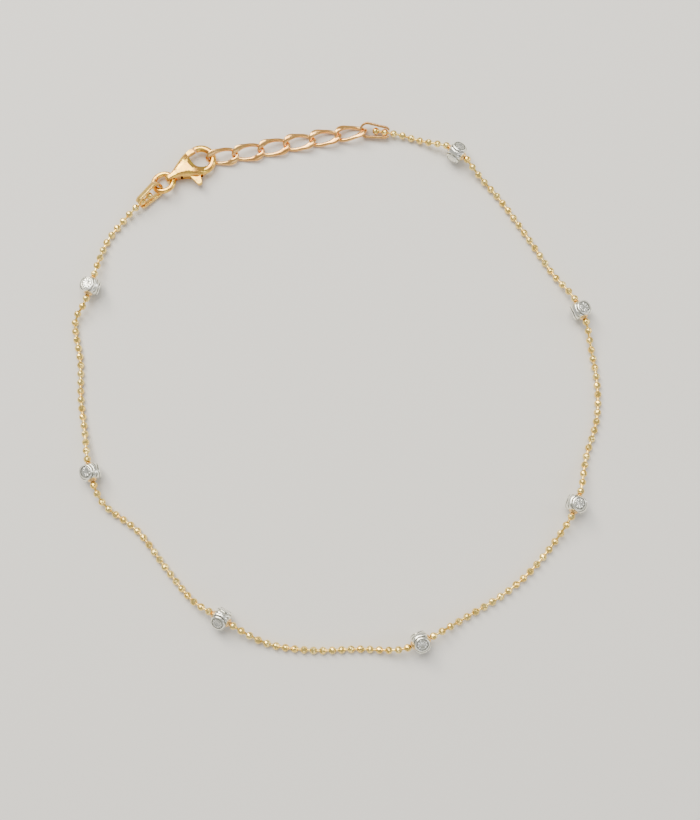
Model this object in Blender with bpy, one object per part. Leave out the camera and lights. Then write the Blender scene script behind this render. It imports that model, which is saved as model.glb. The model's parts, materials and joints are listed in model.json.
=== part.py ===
"""Ball-chain anklet with seven moon-cut beads, a lobster clasp and a six-link extension.

It lies fastened on a flat surface. Metres, +Z up; the origin is the middle of its outline on that surface.
Places along the chain and at the clasp are worked out outwards from the middle of the clasp's hook.
"""

import math

import bmesh
import bpy
from mathutils import Matrix, Vector

MM = 0.001

# Ball chain
BALL_DIAMETER = 1.05 * MM
BALL_PITCH = 1.39 * MM
SHANK_DIAMETER = 0.36 * MM
LEAST_SHANK = 0.12 * MM
BALLS_IN_RUN = 20
BALL_SIDES = 10
SHANK_SIDES = 5
CUT_RING_SHARE = 0.34  # how far along the ball's radius its two rings of facets lie
LIFT_LENGTH = 5.6 * MM  # over which the chain rises from the surface to a bead or a tag

# Moon-cut beads
BEAD_DIAMETER = 3.3 * MM
BEAD_BODY_LENGTH = 2.35 * MM
BEAD_SIDES = 12
COLLAR_DIAMETER = 1.55 * MM
COLLAR_LENGTH = 0.2 * MM
BORE_CLEARANCE = 0.13 * MM
BEAD_END_GAP = 0.12 * MM
MOON_CUTS = 6
MOON_CUT_RADIUS = 1.15 * MM
MOON_CUT_DEPTH = 0.22 * MM
STRAND_GAP = 0.12 * MM  # between the two strands, inside the fourth bead

# End tags, each a strip folded round a wire, with the last two balls held in its mouth
TAG_STRIP_WIDTH = 0.85 * MM
TAG_THICKNESS = 0.35 * MM
TAG_BEND_GAP = 1.75 * MM
TAG_BALL_CLEARANCE = 0.1 * MM
TAG_LIP_CLEARANCE = 0.12 * MM
TAG_LENGTH = 4.65 * MM
TAG_LIP_LENGTH = 0.6 * MM
CLASP_TAG_ROLL = -60
EXTENSION_TAG_ROLL = 32
EXTENSION_TAG_HEADING = -8.6

# Wire links
WIRE_CLEARANCE = 0.12 * MM  # between two wires, or a wire and a strip, that pull on each other
SKEW_CLEARANCE = 0.32 * MM  # where the wire also stands askew, as in a tag's bend or the clasp's eye
WIRE_SIDES = 6
LINK_LENGTH = 5.2 * MM
LINK_WIDTH = 2.5 * MM
LINK_WIRE = 0.5 * MM
LINK_TWIST = 40
LINK_BEND_STEPS = 6
JUMP_RING_DIAMETER = 3.9 * MM
JUMP_RING_WIRE = 0.78 * MM
JUMP_RING_TILT = -15
JUMP_RING_SIDES = 16

# How each link lies, from the clasp outwards: heading, roll about its length and nose-down tilt, in degrees
LINK_LAY = (
    (10.3, 40, 2),
    (11.5, 30, 2),
    (14.0, 18, 2),
    (11.5, 6, 1),
    (10.0, -3, -2),
    (11.5, -15, -1),
)

# Lobster clasp, in its own frame: u from the tail to the hook, v to its left, from the middle of the hook
CLASP_PLACE = Vector((-20.95, 34.4, 0)) * MM
CLASP_HEADING = 33.2
HOOK_DIAMETER = 4.86 * MM
HOOK_WIRE = 1.06 * MM
HOOK_SIDES = 10
HOOK_STEPS = 18
HOOK_ROOT_ANGLE = -128
SEAM_ANGLE = 93.5
SEAM_SLANT = 9.5  # how much further back the hook's tip is cut on its inner side
SEAM_GAP_ANGLE = 3.0
CLASP_TAIL = 6.26 * MM
CLASP_THICKNESS = 2.5 * MM
CLASP_FLAT = 0.1 * MM  # how much of the underside is flattened off
CLASP_SIDES = 16
CLASP_FULLNESS = 2.6  # the exponent of its rounded-square sections
LEVER_THICKNESS = 0.86 * MM
LEVER_SIDE_CLEARANCE = 0.12 * MM
LEVER_GATE_WIDTH = 0.76 * MM
LEVER_HEEL_RADIUS = 0.62 * MM
LEVER_ARM_WIDTH = 1.0 * MM
PIVOT = Vector((-2.9, 0.9)) * MM
NUB_LENGTH = 1.55 * MM
NUB_ROOT_WIDTH = 1.56 * MM
NUB_TIP_WIDTH = 1.0 * MM
NUB_TIP = Vector((-1.95, -3.35)) * MM
GATE_ROOT_ANGLE = 139
GATE_SIDE = 0.15 * MM  # from the clasp's axis to the room that is cut for the gate
SLOT_BACK = 4.4 * MM
SLOT_FRONT = 1.05 * MM
PIN_DIAMETER = 0.6 * MM
PIN_CLEARANCE = 0.06 * MM
PIN_SHARE = 0.92  # of the clasp's thickness
EYE_SETBACK = 0.93 * MM  # from the tail's end to the middle of its eye
EYE_WIDTH = 1.22 * MM
EYE_HEIGHT = 1.42 * MM
EYE_SIDES = 14

# The clasp's body: distance back from the hook's middle as a share of the tail's, then its reach to the
# left and right as shares of the hook's radius, and its height as a share of the thickness
CLASP_SECTIONS = (
    (0.05, 0.99, 0.97, 0.40),
    (0.16, 1.00, 0.98, 0.62),
    (0.29, 0.93, 0.93, 0.88),
    (0.40, 0.82, 0.72, 0.99),
    (0.50, 0.69, 0.55, 1.00),
    (0.62, 0.51, 0.38, 0.95),
    (0.72, 0.35, 0.28, 0.86),
    (0.82, 0.24, 0.23, 0.82),
    (0.95, 0.22, 0.22, 0.76),
    (1.00, 0.16, 0.16, 0.50),
)

# The chain's route in millimetres, from the extension's tag round to the clasp's: x, y, and a bead's roll
ROUTE = (
    (10.6, 38.6, None),
    (14.6, 37.3, None),
    (19.0, 35.8, 20),
    (21.4, 32.8, None),
    (25.0, 28.6, None),
    (29.0, 22.7, None),
    (32.8, 16.6, None),
    (37.1, 10.1, 65),
    (38.3, 5.2, None),
    (39.2, -1.2, None),
    (38.9, -6.6, None),
    (37.2, -11.9, None),
    (35.3, -19.4, 10),
    (32.5, -24.1, None),
    (28.5, -28.9, None),
    (24.6, -32.2, None),
    (19.1, -35.5, None),
    (12.3, -39.2, 80),
    (9.3, -40.2, None),
    (3.5, -40.1, None),
    (-2.8, -40.3, None),
    (-9.1, -39.5, None),
    (-12.4, -38.1, None),
    (-16.2, -35.8, 40),
    (-20.3, -33.4, None),
    (-24.1, -29.1, None),
    (-28.8, -23.2, None),
    (-34.0, -19.1, None),
    (-35.9, -14.7, 0),
    (-37.0, -9.3, None),
    (-38.0, -3.3, None),
    (-38.3, 2.2, None),
    (-39.3, 8.6, None),
    (-37.9, 11.2, None),
    (-37.0, 13.8, 55),
    (-36.2, 17.4, None),
    (-35.1, 21.2, None),
    (-32.5, 24.8, None),
)
ROUTE_STEPS = 12

YELLOW_GOLD = ("yellow_gold", "E3B565", 0.2)
ROSE_GOLD = ("rose_gold", "DCA578", 0.22)
WHITE_METAL = ("white_metal", "E9E8E1", 0.16)
PIN_GOLD = ("pin_gold", "C99B55", 0.3)


def linear(hex_colour):
    """A hex sRGB colour as the linear numbers that a shader takes."""
    values = [int(hex_colour[i:i + 2], 16) / 255 for i in (0, 2, 4)]
    return [v / 12.92 if v <= 0.04045 else ((v + 0.055) / 1.055) ** 2.4 for v in values] + [1.0]


def metal(name, colour, roughness):
    found = bpy.data.materials.get(name)
    if found:
        return found
    made = bpy.data.materials.new(name)
    made.use_nodes = True
    shader = made.node_tree.nodes["Principled BSDF"]
    shader.inputs["Base Color"].default_value = linear(colour)
    shader.inputs["Metallic"].default_value = 1.0
    shader.inputs["Roughness"].default_value = roughness
    made.diffuse_color = linear(colour)
    return made


def mesh_of(bm, name):
    """The finished mesh of a bmesh, with its faces turned out."""
    bmesh.ops.recalc_face_normals(bm, faces=bm.faces)
    mesh = bpy.data.meshes.new(name)
    bm.to_mesh(mesh)
    bm.free()
    return mesh


def place(name, mesh, finish, matrix=None):
    """A named piece of the anklet."""
    if not mesh.materials:
        mesh.materials.append(metal(*finish))
    piece = bpy.data.objects.new(name, mesh)
    piece.matrix_world = matrix or Matrix()
    bpy.context.scene.collection.objects.link(piece)
    return piece


def helper(name, mesh, matrix=None):
    """A cutter or a shape to be joined on, which isn't a piece by itself."""
    shape = bpy.data.objects.new(name, mesh)
    shape.matrix_world = matrix or Matrix()
    shape.hide_render = True
    shape.display_type = "WIRE"
    bpy.context.scene.collection.objects.link(shape)
    return shape


def boolean(piece, other, operation):
    modifier = piece.modifiers.new(other.name, "BOOLEAN")
    modifier.operation = operation
    modifier.object = other


def ring(bm, centre, across, up, radii, sides, phase=0.0):
    """A ring of points round a centre, as (phase, points); radii are along across and along up."""
    points = []
    for i in range(sides):
        angle = math.tau * (i / sides + phase)
        offset = across * (math.cos(angle) * radii[0]) + up * (math.sin(angle) * radii[1])
        points.append(bm.verts.new(centre + offset))
    return phase, points


def zip_rings(bm, low, high):
    """Triangles between two rings, which may have different numbers of points."""
    (low_phase, a), (high_phase, b) = low, high
    i = j = 0
    while i < len(a) or j < len(b):
        next_a = low_phase + (i + 1) / len(a)
        next_b = high_phase + (j + 1) / len(b)
        here, there = a[i % len(a)], b[j % len(b)]
        if j == len(b) or (i < len(a) and next_a <= next_b):
            i += 1
            bm.faces.new((here, a[i % len(a)], there))
        else:
            j += 1
            bm.faces.new((here, b[j % len(b)], there))


def rotation(degrees, axis):
    return Matrix.Rotation(math.radians(degrees), 4, axis)


def heading_vector(degrees):
    return Vector((math.cos(math.radians(degrees)), math.sin(math.radians(degrees)), 0))


def arc(centre, radius, start, end, steps):
    """Points of a flat arc, in degrees."""
    turn = [math.radians(start + (end - start) * i / steps) for i in range(steps + 1)]
    return [Vector((centre[0] + radius * math.cos(t), centre[1] + radius * math.sin(t))) for t in turn]


def plate(outline, bottom, top, name):
    """A flat outline given thickness along Z."""
    bm = bmesh.new()
    face = bm.faces.new([bm.verts.new((x, y, bottom)) for x, y in outline])
    raised = bmesh.ops.extrude_face_region(bm, geom=[face])["geom"]
    moved = [v for v in raised if isinstance(v, bmesh.types.BMVert)]
    bmesh.ops.translate(bm, verts=moved, vec=(0, 0, top - bottom))
    return mesh_of(bm, name)


def cylinder(diameter, bottom, top, sides, name):
    bm = bmesh.new()
    bmesh.ops.create_cone(
        bm,
        cap_ends=True,
        segments=sides,
        radius1=diameter / 2,
        radius2=diameter / 2,
        depth=top - bottom,
        matrix=Matrix.Translation((0, 0, (top + bottom) / 2)),
    )
    return mesh_of(bm, name)


# Wire links and the jump ring


def wire_loop(path, normals, wire, name):
    """A closed wire along a path, whose sections stand across it; normals are the loop's own at each point."""
    bm = bmesh.new()
    count = len(path)
    rings = []
    for i, (point, normal) in enumerate(zip(path, normals)):
        along = (path[(i + 1) % count] - path[i - 1]).normalized()
        across = along.cross(normal).normalized()
        rings.append(ring(bm, point, across, across.cross(along), (wire / 2, wire / 2), WIRE_SIDES))
    for i in range(count):
        zip_rings(bm, rings[i - 1], rings[i])
    return mesh_of(bm, name)


def link_reach():
    """From a link's middle to its wire's middle at either end."""
    return (LINK_LENGTH - LINK_WIRE) / 2


def curb_link():
    """A link along X: two half circles and two straight sides, twisted evenly from end to end."""
    bend = (LINK_WIDTH - LINK_WIRE) / 2
    reach = link_reach()
    flat = arc((reach - bend, 0), bend, -90, 90, LINK_BEND_STEPS)
    flat += [Vector((0, bend))]
    flat += arc((bend - reach, 0), bend, 90, 270, LINK_BEND_STEPS)
    flat += [Vector((0, -bend))]
    path, normals = [], []
    for x, y in flat:
        twist = rotation(-LINK_TWIST * x / reach, "X")
        path.append(twist @ Vector((x, y, 0)))
        normals.append(twist @ Vector((0, 0, 1)))
    return wire_loop(path, normals, LINK_WIRE, "curb_link")


def jump_ring():
    radius = (JUMP_RING_DIAMETER - JUMP_RING_WIRE) / 2
    path = [Vector((x, y, 0)) for x, y in arc((0, 0), radius, 0, 360, JUMP_RING_SIDES)[:-1]]
    return wire_loop(path, [Vector((0, 0, 1))] * len(path), JUMP_RING_WIRE, "jump_ring")


# End tags


def tag_mouth():
    """Half the space between the arms where they hold the balls, and between the lips round the shank."""
    return BALL_DIAMETER / 2 + TAG_BALL_CLEARANCE, SHANK_DIAMETER / 2 + TAG_LIP_CLEARANCE


def tag_end():
    """From the middle of the bend to the ends of the lips."""
    return TAG_LENGTH - TAG_BEND_GAP / 2 - TAG_THICKNESS


def tag_ball_places():
    """Where the last ball and the one before it lie, from the middle of the bend."""
    outer = tag_end() - TAG_LIP_LENGTH - BALL_DIAMETER * 0.1
    return outer - BALL_PITCH, outer


def end_tag():
    """The folded strip: bend round the origin, mouth towards +X, the strip's width along Z."""
    arm, lip = tag_mouth()
    lip_start = tag_end() - TAG_LIP_LENGTH

    def side(offset):
        bend = arc((0, 0), TAG_BEND_GAP / 2 + offset, 90, 180, 4)
        ends = [Vector((tag_end(), lip + offset)), Vector((lip_start, arm + offset))]
        upper = ends + bend
        return upper + [Vector((p.x, -p.y)) for p in reversed(upper[:-1])]

    outline = side(TAG_THICKNESS) + side(0)[::-1]
    return plate(outline, -TAG_STRIP_WIDTH / 2, TAG_STRIP_WIDTH / 2, "end_tag")


def tag_height(roll):
    """How high a tag's middle lies when its bend rests on the surface."""
    turn = math.radians(abs(roll))
    across = TAG_BEND_GAP + 2 * TAG_THICKNESS
    return (TAG_STRIP_WIDTH * math.cos(turn) + across * math.sin(turn)) / 2


# Moon-cut beads


def bead_bore():
    return SHANK_DIAMETER / 2 + BORE_CLEARANCE


def bead_half_length():
    return BEAD_BODY_LENGTH / 2 + COLLAR_LENGTH


def ball_from_bead():
    """From a bead's middle to the middle of the ball beside it."""
    return bead_half_length() + BEAD_END_GAP + BALL_DIAMETER / 2


def plain_bead():
    """A bead turned about X: a rounded body between two collars, bored through."""
    half, radius, collar = BEAD_BODY_LENGTH / 2, BEAD_DIAMETER / 2, COLLAR_DIAMETER / 2
    right = [(bead_half_length(), bead_bore()), (bead_half_length(), collar), (half, collar)]
    right += [(half * along, collar + (radius - collar) * out) for along, out in ((0.84, 0.55), (0.45, 0.9))]
    profile = right + [(0, radius)] + [(-x, r) for x, r in reversed(right)]
    bm = bmesh.new()
    rings = [
        ring(bm, Vector((x, 0, 0)), Vector((0, 1, 0)), Vector((0, 0, 1)), (r, r), BEAD_SIDES)
        for x, r in profile
    ]
    for i in range(len(rings)):
        zip_rings(bm, rings[i - 1], rings[i])
    return mesh_of(bm, "plain_bead")


def moon_dishes():
    """The round-nosed cutter's passes: balls set round the bead's waist."""
    bm = bmesh.new()
    out = BEAD_DIAMETER / 2 - MOON_CUT_DEPTH + MOON_CUT_RADIUS
    for i in range(MOON_CUTS):
        turn = rotation(360 * i / MOON_CUTS, "X") @ Matrix.Translation((0, 0, out))
        bmesh.ops.create_uvsphere(bm, u_segments=9, v_segments=8, radius=MOON_CUT_RADIUS, matrix=turn)
    return mesh_of(bm, "moon_dishes")


def moon_bead():
    """The bead's mesh with its dished cuts, which all seven beads share."""
    bead = helper("plain_bead", plain_bead())
    boolean(bead, helper("moon_dishes", moon_dishes()), "DIFFERENCE")
    bpy.context.view_layer.update()
    graph = bpy.context.evaluated_depsgraph_get()
    return bpy.data.meshes.new_from_object(bead.evaluated_get(graph))


# Lobster clasp


def clasp_height():
    """The height of the clasp's mid-plane above the surface."""
    return CLASP_THICKNESS / 2 - CLASP_FLAT


def hook_radius():
    return (HOOK_DIAMETER - HOOK_WIRE) / 2


def throat_radius():
    return HOOK_DIAMETER / 2 - HOOK_WIRE


def eye_place():
    return EYE_SETBACK - CLASP_TAIL


def clasp_frame():
    return Matrix.Translation(CLASP_PLACE + Vector((0, 0, clasp_height()))) @ rotation(CLASP_HEADING, "Z")


def clasp_shell():
    """The clasp's swelling body as a loft of rounded-square sections, flat underneath."""
    bm = bmesh.new()
    rings = []
    for back, left, right, height in CLASP_SECTIONS:
        points = []
        for i in range(CLASP_SIDES):
            turn = math.tau * i / CLASP_SIDES
            c, s = math.cos(turn), math.sin(turn)
            y = math.copysign(abs(c) ** (2 / CLASP_FULLNESS), c) * HOOK_DIAMETER / 2
            z = math.copysign(abs(s) ** (2 / CLASP_FULLNESS), s) * height * CLASP_THICKNESS / 2
            y *= left if c > 0 else right
            points.append(bm.verts.new((-back * CLASP_TAIL, y, max(z, -clasp_height()))))
        rings.append((0.0, points))
    for low, high in zip(rings, rings[1:]):
        zip_rings(bm, low, high)
    bm.faces.new(rings[0][1])
    bm.faces.new(rings[-1][1])
    return mesh_of(bm, "clasp_shell")


def hook():
    """The hook's round wire, from its root in the body over to its tip at the seam."""
    bm = bmesh.new()
    rings = []
    for i in range(HOOK_STEPS + 1):
        share = i / HOOK_STEPS
        points = []
        for k in range(HOOK_SIDES):
            turn = math.tau * k / HOOK_SIDES
            outwards = math.cos(turn)
            tip = SEAM_ANGLE - SEAM_SLANT * (1 - outwards) / 2
            angle = math.radians(HOOK_ROOT_ANGLE + share * (tip - HOOK_ROOT_ANGLE))
            radius = hook_radius() + outwards * HOOK_WIRE / 2
            x, y = radius * math.cos(angle), radius * math.sin(angle)
            points.append(bm.verts.new((x, y, math.sin(turn) * HOOK_WIRE / 2)))
        rings.append((0.0, points))
    for low, high in zip(rings, rings[1:]):
        zip_rings(bm, low, high)
    bm.faces.new(rings[0][1])
    bm.faces.new(rings[-1][1])
    return mesh_of(bm, "hook")


def box_mesh(low, high, name):
    corners = [Vector((low[0], low[1])), Vector((high[0], low[1]))]
    corners += [Vector((high[0], high[1])), Vector((low[0], high[1]))]
    return plate(corners, low[2], high[2], name)


def gate_ring(offset):
    """The middle radius of the gate's arm, widened by an offset on its outer side."""
    return hook_radius() + offset


def lever():
    """The lever's flat outline: gate arm, heel round the pivot, arm across the body and thumb nub."""
    half = LEVER_GATE_WIDTH / 2
    tip = SEAM_ANGLE + SEAM_GAP_ANGLE
    outline = arc((0, 0), gate_ring(half), tip, GATE_ROOT_ANGLE, 5)
    outline += arc(PIVOT, LEVER_HEEL_RADIUS, 115, 225, 5)
    nub_root = NUB_TIP.y + NUB_LENGTH
    outline += [Vector((NUB_TIP.x - NUB_ROOT_WIDTH / 2, nub_root))]
    outline += arc(NUB_TIP + Vector((0, NUB_TIP_WIDTH / 2)), NUB_TIP_WIDTH / 2, 180, 360, 6)
    outline += [Vector((NUB_TIP.x + NUB_ROOT_WIDTH / 2, nub_root))]
    outline += [Vector((NUB_TIP.x, nub_root + LEVER_ARM_WIDTH)), PIVOT + Vector((LEVER_HEEL_RADIUS, -half))]
    outline += arc((0, 0), gate_ring(-half), GATE_ROOT_ANGLE, tip, 5)
    return outline


def clasp():
    """The clasp's body with its hook, slot, eye and pin hole, its lever and its pin."""
    frame = clasp_frame()
    body = place("clasp_body", clasp_shell(), YELLOW_GOLD, frame)
    boolean(body, helper("hook", hook(), frame), "UNION")
    far = 2 * HOOK_DIAMETER
    throat = cylinder(2 * throat_radius(), -far, far, 28, "throat")
    boolean(body, helper("throat", throat, frame), "DIFFERENCE")
    half_slot = LEVER_THICKNESS / 2 + LEVER_SIDE_CLEARANCE
    gate_back = -gate_ring(0) * math.cos(math.radians(180 - GATE_ROOT_ANGLE))
    shell_front = -CLASP_SECTIONS[0][0] * CLASP_TAIL
    tip_back = math.cos(math.radians(SEAM_ANGLE)) * HOOK_DIAMETER / 2
    gate_front = (shell_front + tip_back) / 2
    gate_room = box_mesh((gate_back, GATE_SIDE, -far), (gate_front, far, far), "gate_room")
    boolean(body, helper("gate_room", gate_room, frame), "DIFFERENCE")
    slot = box_mesh((-SLOT_BACK, -far, -half_slot), (-SLOT_FRONT, far, half_slot), "slot")
    boolean(body, helper("slot", slot, frame), "DIFFERENCE")
    pivot = frame @ Matrix.Translation((PIVOT.x, PIVOT.y, 0))
    pin_hole = cylinder(PIN_DIAMETER + 2 * PIN_CLEARANCE, -far, far, 14, "pin_hole")
    boolean(body, helper("pin_hole", pin_hole, pivot), "DIFFERENCE")
    eye = [Vector((x * EYE_WIDTH / 2, y * EYE_HEIGHT / 2)) for x, y in arc((0, 0), 1, 0, 360, EYE_SIDES)[:-1]]
    eye_frame = frame @ Matrix.Translation((eye_place(), 0, 0)) @ rotation(90, "X")
    boolean(body, helper("eye", plate(eye, -far, far, "eye"), eye_frame), "DIFFERENCE")

    blade = plate(lever(), -LEVER_THICKNESS / 2, LEVER_THICKNESS / 2, "clasp_lever")
    blade.transform(Matrix.Translation((-PIVOT.x, -PIVOT.y, 0)))
    moving = place("clasp_lever", blade, YELLOW_GOLD, pivot)
    hole = cylinder(PIN_DIAMETER + 4 * PIN_CLEARANCE, -far, far, 14, "lever_hole")
    boolean(moving, helper("lever_hole", hole, pivot), "DIFFERENCE")
    pin = cylinder(PIN_DIAMETER, -PIN_SHARE * clasp_height(), PIN_SHARE * CLASP_THICKNESS / 2, 14, "clasp_pin")
    place("clasp_pin", pin, PIN_GOLD, pivot)


# Where the fastening pieces lie


def extension():
    """The six links out from the clasp's hook; returns where the last one's outer wire is and its heading."""
    mesh = curb_link()
    hooked = hook_radius() - (HOOK_WIRE + LINK_WIRE) / 2 - WIRE_CLEARANCE
    pitch = LINK_LENGTH - 2 * LINK_WIRE - WIRE_CLEARANCE
    middle = CLASP_PLACE + heading_vector(LINK_LAY[0][0]) * (hooked + link_reach())
    for i, (heading, roll, tilt) in enumerate(LINK_LAY):
        turned = rotation(heading, "Z") @ rotation(tilt, "Y") @ rotation(roll, "X")
        lowest = min((turned @ v.co).z for v in mesh.vertices)
        if i == 0:
            up = clasp_height() - math.sin(math.radians(tilt)) * (link_reach() - LINK_WIRE)
        else:
            up = -lowest
            middle = middle + (heading_vector(LINK_LAY[i - 1][0]) + heading_vector(heading)) * (pitch / 2)
        middle.z = up
        place(f"extension_link_{i + 1}", mesh, ROSE_GOLD, Matrix.Translation(middle) @ turned)
    return middle + heading_vector(heading) * link_reach()


def tag_frame(wire_middle, wire, heading, roll):
    """A tag whose bend holds a wire, with its mouth along the heading."""
    along = heading_vector(heading)
    in_bend = TAG_BEND_GAP / 2 - wire / 2 - SKEW_CLEARANCE
    middle = Vector(wire_middle) + along * in_bend
    middle.z = tag_height(roll)
    return Matrix.Translation(middle) @ rotation(heading, "Z") @ rotation(roll, "X")


def fastening():
    """The links, tags and jump ring; returns the frames of the extension's tag and the clasp's."""
    wire_end = extension()
    extension_tag = tag_frame(wire_end, LINK_WIRE, EXTENSION_TAG_HEADING, EXTENSION_TAG_ROLL)
    radius = (JUMP_RING_DIAMETER - JUMP_RING_WIRE) / 2
    in_eye = (EYE_WIDTH - JUMP_RING_WIRE) / 2 - SKEW_CLEARANCE
    ring_middle = clasp_frame() @ Vector((eye_place() - in_eye - radius, 0, 0))
    last = Vector(ROUTE[-1][:2]) * MM
    leaving = math.degrees(math.atan2(last.y - ring_middle.y, last.x - ring_middle.x))
    lay = rotation(CLASP_HEADING, "Z") @ rotation(JUMP_RING_TILT, "X")
    place("jump_ring", jump_ring(), YELLOW_GOLD, Matrix.Translation(ring_middle) @ lay)
    wire_middle = ring_middle + heading_vector(leaving) * radius
    clasp_tag = tag_frame(wire_middle, JUMP_RING_WIRE, leaving, CLASP_TAG_ROLL)
    mesh = end_tag()
    place("end_tag_extension", mesh, ROSE_GOLD, extension_tag)
    place("end_tag_clasp", mesh.copy(), YELLOW_GOLD, clasp_tag)
    return extension_tag, clasp_tag


# The chain and its beads


def spline_span(p, share):
    """A point between p[1] and p[2] on the centripetal curve through four points."""
    knots = [0.0]
    for a, b in zip(p, p[1:]):
        knots.append(knots[-1] + max((b - a).length, 1e-9) ** 0.5)
    t = knots[1] + (knots[2] - knots[1]) * share

    def between(a, b, low, high):
        return a * ((high - t) / (high - low)) + b * ((t - low) / (high - low))

    first = [between(p[i], p[i + 1], knots[i], knots[i + 1]) for i in range(3)]
    second = [between(first[i], first[i + 1], knots[i], knots[i + 2]) for i in range(2)]
    return between(second[0], second[1], knots[1], knots[2])


class Route:
    """The chain's smooth flat path, with the distance along it of each bead."""

    def __init__(self, before, start, end, after):
        chosen = [Vector((x, y)) * MM for x, y, _ in ROUTE]
        points = [before, start, *chosen, end, after]
        self.trail, self.run, self.beads = [points[1]], [0.0], []
        for i in range(1, len(points) - 2):
            for step in range(1, ROUTE_STEPS + 1):
                here = spline_span(points[i - 1:i + 3], step / ROUTE_STEPS)
                self.run.append(self.run[-1] + (here - self.trail[-1]).length)
                self.trail.append(here)
            if i <= len(ROUTE) and ROUTE[i - 1][2] is not None:
                self.beads.append(self.run[-1])

    def at(self, distance):
        i = next((k for k, run in enumerate(self.run) if run >= distance), len(self.run) - 1)
        i = max(i, 1)
        share = (distance - self.run[i - 1]) / (self.run[i] - self.run[i - 1])
        return self.trail[i - 1].lerp(self.trail[i], share)


def spaced(start, end, steps):
    return [start + (end - start) * i / steps for i in range(steps + 1)]


def chain_runs(route):
    """The distances along the route of the balls in each run between two beads, or a bead and a tag."""
    gap = ball_from_bead()
    stops = route.beads
    first = stops[0] - gap
    runs = [spaced(0, first, max(1, round(first / BALL_PITCH)))]
    for low, high in zip(stops, stops[1:]):
        room = high - low - 2 * gap
        steps = min(BALLS_IN_RUN - 1, int(room / (BALL_DIAMETER + LEAST_SHANK)))
        runs.append(spaced(low + gap, high - gap, steps))
    last = route.run[-1] - stops[-1] - gap
    runs.append(spaced(stops[-1] + gap, route.run[-1], max(1, round(last / BALL_PITCH))))
    return runs


def chain_height(distance, route, first, last):
    """The height of the chain's middle: on the surface, and lifted where a bead or a tag holds it."""
    low = BALL_DIAMETER / 2
    held = [(bead, BEAD_DIAMETER / 2, ball_from_bead()) for bead in route.beads]
    held += [(0, first, 0), (route.run[-1], last, 0)]
    lift = 0
    for place_along, height, level in held:
        share = (abs(distance - place_along) - level) / LIFT_LENGTH
        share = min(max(share, 0), 1)
        lift = max(lift, (height - low) * (1 - share * share * (3 - 2 * share)))
    return low + lift


def strand(name, balls, cut_start, cut_end):
    """One fused strand of balls on shanks; a cut end is the point where its bare shank stops."""
    bm = bmesh.new()
    radius = BALL_DIAMETER / 2
    shank = (SHANK_DIAMETER / 2, SHANK_DIAMETER / 2)
    meet = math.sqrt(radius**2 - (SHANK_DIAMETER / 2) ** 2)
    cut = CUT_RING_SHARE * radius
    path = [cut_start or balls[0], *balls, cut_end or balls[-1]]
    rings = []
    for i, ball in enumerate(balls, start=1):
        along = (path[i + 1] - path[i - 1]).normalized()
        across = along.cross(Vector((0, 0, 1))).normalized()
        up = across.cross(along)
        if i == 1 and cut_start:
            rings.append(ring(bm, cut_start, across, up, shank, SHANK_SIDES))
        rings.append(ring(bm, ball - along * meet, across, up, shank, SHANK_SIDES))
        rings.append(ring(bm, ball - along * cut, across, up, (radius, radius), BALL_SIDES))
        rings.append(ring(bm, ball + along * cut, across, up, (radius, radius), BALL_SIDES, 0.5 / BALL_SIDES))
        rings.append(ring(bm, ball + along * meet, across, up, shank, SHANK_SIDES))
        if i == len(balls) and cut_end:
            rings.append(ring(bm, cut_end, across, up, shank, SHANK_SIDES))
    for low, high in zip(rings, rings[1:]):
        zip_rings(bm, low, high)
    bm.faces.new(rings[0][1])
    bm.faces.new(rings[-1][1])
    place(name, mesh_of(bm, name), YELLOW_GOLD)


def chain_and_beads(extension_tag, clasp_tag):
    """The two strands, whose bare ends meet inside the middle bead, and the seven beads on them."""
    inner, outer = tag_ball_places()
    first = [frame @ Vector((inner, 0, 0)) for frame in (extension_tag, clasp_tag)]
    second = [frame @ Vector((outer, 0, 0)) for frame in (extension_tag, clasp_tag)]
    route = Route(first[0].xy, second[0].xy, second[1].xy, first[1].xy)
    runs = []
    for run in chain_runs(route):
        heights = [chain_height(d, route, second[0].z, second[1].z) for d in run]
        runs.append([Vector((*route.at(d), z)) for d, z in zip(run, heights)])
    runs[0].insert(0, first[0])
    runs[-1].append(first[1])

    mesh = moon_bead()
    rolls = [roll for _, _, roll in ROUTE if roll is not None]
    middles = []
    for i, (before, after) in enumerate(zip(runs, runs[1:])):
        along = (after[0] - before[-1]).normalized()
        middles.append((after[0] + before[-1]) / 2)
        turn = Vector((1, 0, 0)).rotation_difference(along).to_matrix().to_4x4()
        lay = Matrix.Translation(middles[-1]) @ turn @ rotation(rolls[i], "X")
        place(f"moon_bead_{i + 1}", mesh, WHITE_METAL, lay)
    half = len(middles) // 2
    meeting = middles[half]
    back = (runs[half][-1] - meeting).normalized() * (STRAND_GAP / 2)
    strand("ball_chain_right", sum(runs[:half + 1], []), None, meeting + back)
    strand("ball_chain_left", sum(runs[half + 1:], []), meeting - back, None)


for old in list(bpy.data.objects):
    bpy.data.objects.remove(old)
clasp()
chain_and_beads(*fastening())
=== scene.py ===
# %% [markdown]
# # A fine ball-chain anklet, fastened and lying flat
#
# The real piece is a chain of small diamond-cut gold balls with seven white moon-cut beads on it. A folded
# tag grips each end of the chain. One tag holds a jump ring and a lobster clasp, the other a short
# extension of curb links, and the clasp is hooked into the first link.
#
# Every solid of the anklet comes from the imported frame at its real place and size. This lesson dresses it:
# it makes a finer surface for each piece where its solid lies, and gives every metal its own finish.

# %% The frame
import json
import math

import bmesh
import bpy
import numpy as np
from mathutils import Matrix, Vector
from mathutils.kdtree import KDTree

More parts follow.
